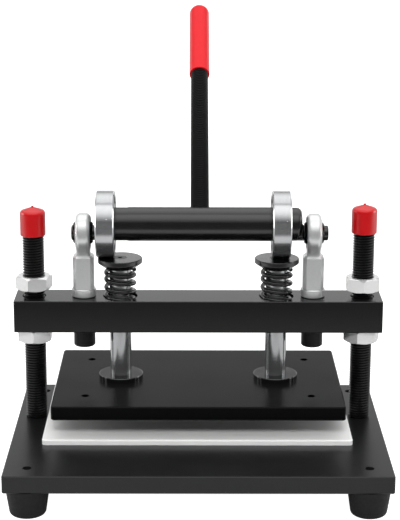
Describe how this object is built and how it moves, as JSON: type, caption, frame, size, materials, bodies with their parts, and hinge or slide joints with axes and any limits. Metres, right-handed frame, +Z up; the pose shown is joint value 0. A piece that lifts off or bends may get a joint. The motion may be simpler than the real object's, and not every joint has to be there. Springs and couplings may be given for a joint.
{
  "type": "leather cutting press",
  "caption": "Bench press for leather cutting dies: a long lever turns an eccentric shaft whose bearings push a sprung plate down on a nylon board, under a height-set crossbar",
  "frame": {"origin": "on the bench surface, under the middle of the base plate", "axes": "+X to the user's right along the crossbar, +Y away from the user, the way the resting lever leans, +Z up"},
  "size_m": [0.34, 0.425, 0.4],
  "materials": {
    "black_steel": "semi-gloss",
    "black_oxide_steel": "satin",
    "ground_steel": "polished",
    "zinc_plated_steel": "satin",
    "bearing_steel": "brushed",
    "bronze": "satin",
    "black_rubber": "matte",
    "white_nylon": "satin",
    "red_soft_pvc": "gloss",
    "black_spring_steel": "satin"
  },
  "bodies": {
    "base": {"base_plate": "black_steel", "foot_front_left": "black_rubber", "foot_front_right": "black_rubber", "foot_back_left": "black_rubber", "foot_back_right": "black_rubber", "foot_screws": "black_oxide_steel", "column_left": "black_oxide_steel", "column_right": "black_oxide_steel", "column_cap_left": "red_soft_pvc", "column_cap_right": "red_soft_pvc"},
    "board": {"cutting_board": "white_nylon"},
    "bar": {"crossbar": "black_steel", "guide_bush_left": "bronze", "guide_bush_right": "bronze", "rod_end_left": "zinc_plated_steel", "rod_end_right": "zinc_plated_steel", "rod_end_race_left": "bronze", "rod_end_race_right": "bronze", "rod_end_screw_left": "black_oxide_steel", "rod_end_screw_right": "black_oxide_steel", "spring_washer_left": "black_oxide_steel", "spring_washer_right": "black_oxide_steel", "spring_left": "black_spring_steel", "spring_right": "black_spring_steel"},
    "cam": {"eccentric_shaft": "black_oxide_steel", "lever_rod": "black_oxide_steel", "lever_grip": "red_soft_pvc", "rod_end_ball_left": "bearing_steel", "rod_end_ball_right": "bearing_steel", "bearing_inner_left": "bearing_steel", "bearing_inner_right": "bearing_steel"},
    "press": {"press_plate": "black_steel", "collar_left": "black_steel", "collar_right": "black_steel", "guide_post_left": "ground_steel", "guide_post_right": "ground_steel", "post_cap_left": "black_steel", "post_cap_right": "black_steel", "cap_screws": "black_oxide_steel", "plate_screws": "black_oxide_steel"},
    "roller_left": {"bearing_outer_left": "bearing_steel", "bearing_seals_left": "black_rubber"},
    "roller_right": {"bearing_outer_right": "bearing_steel", "bearing_seals_right": "black_rubber"},
    "upper_nut_left": {"nut_upper_left": "zinc_plated_steel"},
    "upper_nut_right": {"nut_upper_right": "zinc_plated_steel"},
    "lower_nut_left": {"nut_lower_left": "zinc_plated_steel"},
    "lower_nut_right": {"nut_lower_right": "zinc_plated_steel"}
  },
  "joints": [
    {"name": "board_slide", "type": "slide", "parent": "base", "child": "board", "axis": [0, -1, 0], "range_m": [0, 0.15]},
    {"name": "crossbar_height", "type": "slide", "parent": "base", "child": "bar", "axis": [0, 0, 1], "range_m": [-0.006, 0.036]},
    {"name": "lever_swing", "type": "hinge", "parent": "bar", "child": "cam", "pos_m": [0, 0.032, 0.2203], "axis": [1, 0, 0], "range_deg": [0, 150]},
    {"name": "press_slide", "type": "slide", "parent": "bar", "child": "press", "axis": [0, 0, -1], "range_m": [0, 0.0122], "stiffness_N_per_m": 20000, "springref_m": -0.005, "deforming": ["spring_left", "spring_right"]},
    {"name": "bearing_spin_left", "type": "hinge", "parent": "cam", "child": "roller_left", "pos_m": [-0.0856, 0.03547, 0.22773], "axis": [1, 0, 0], "continuous": true},
    {"name": "bearing_spin_right", "type": "hinge", "parent": "cam", "child": "roller_right", "pos_m": [0.0761, 0.03547, 0.22773], "axis": [1, 0, 0], "continuous": true},
    {"name": "upper_nut_turn_left", "type": "hinge", "parent": "bar", "child": "upper_nut_left", "pos_m": [-0.1524, 0.032, 0.173], "axis": [0, 0, 1], "continuous": true},
    {"name": "upper_nut_turn_right", "type": "hinge", "parent": "bar", "child": "upper_nut_right", "pos_m": [0.1524, 0.032, 0.173], "axis": [0, 0, 1], "continuous": true},
    {"name": "lower_nut_turn_left", "type": "hinge", "parent": "bar", "child": "lower_nut_left", "pos_m": [-0.1524, 0.032, 0.1235], "axis": [0, 0, 1], "continuous": true},
    {"name": "lower_nut_turn_right", "type": "hinge", "parent": "bar", "child": "lower_nut_right", "pos_m": [0.1524, 0.032, 0.1235], "axis": [0, 0, 1], "continuous": true}
  ],
  "couplings": [
    {"joint": "press_slide", "follows": "lever_swing", "m_per_rad": 0.0046352},
    {"joint": "lower_nut_turn_left", "follows": "crossbar_height", "rad_per_m": 2513.3},
    {"joint": "lower_nut_turn_right", "follows": "crossbar_height", "rad_per_m": 2513.3}
  ]
}
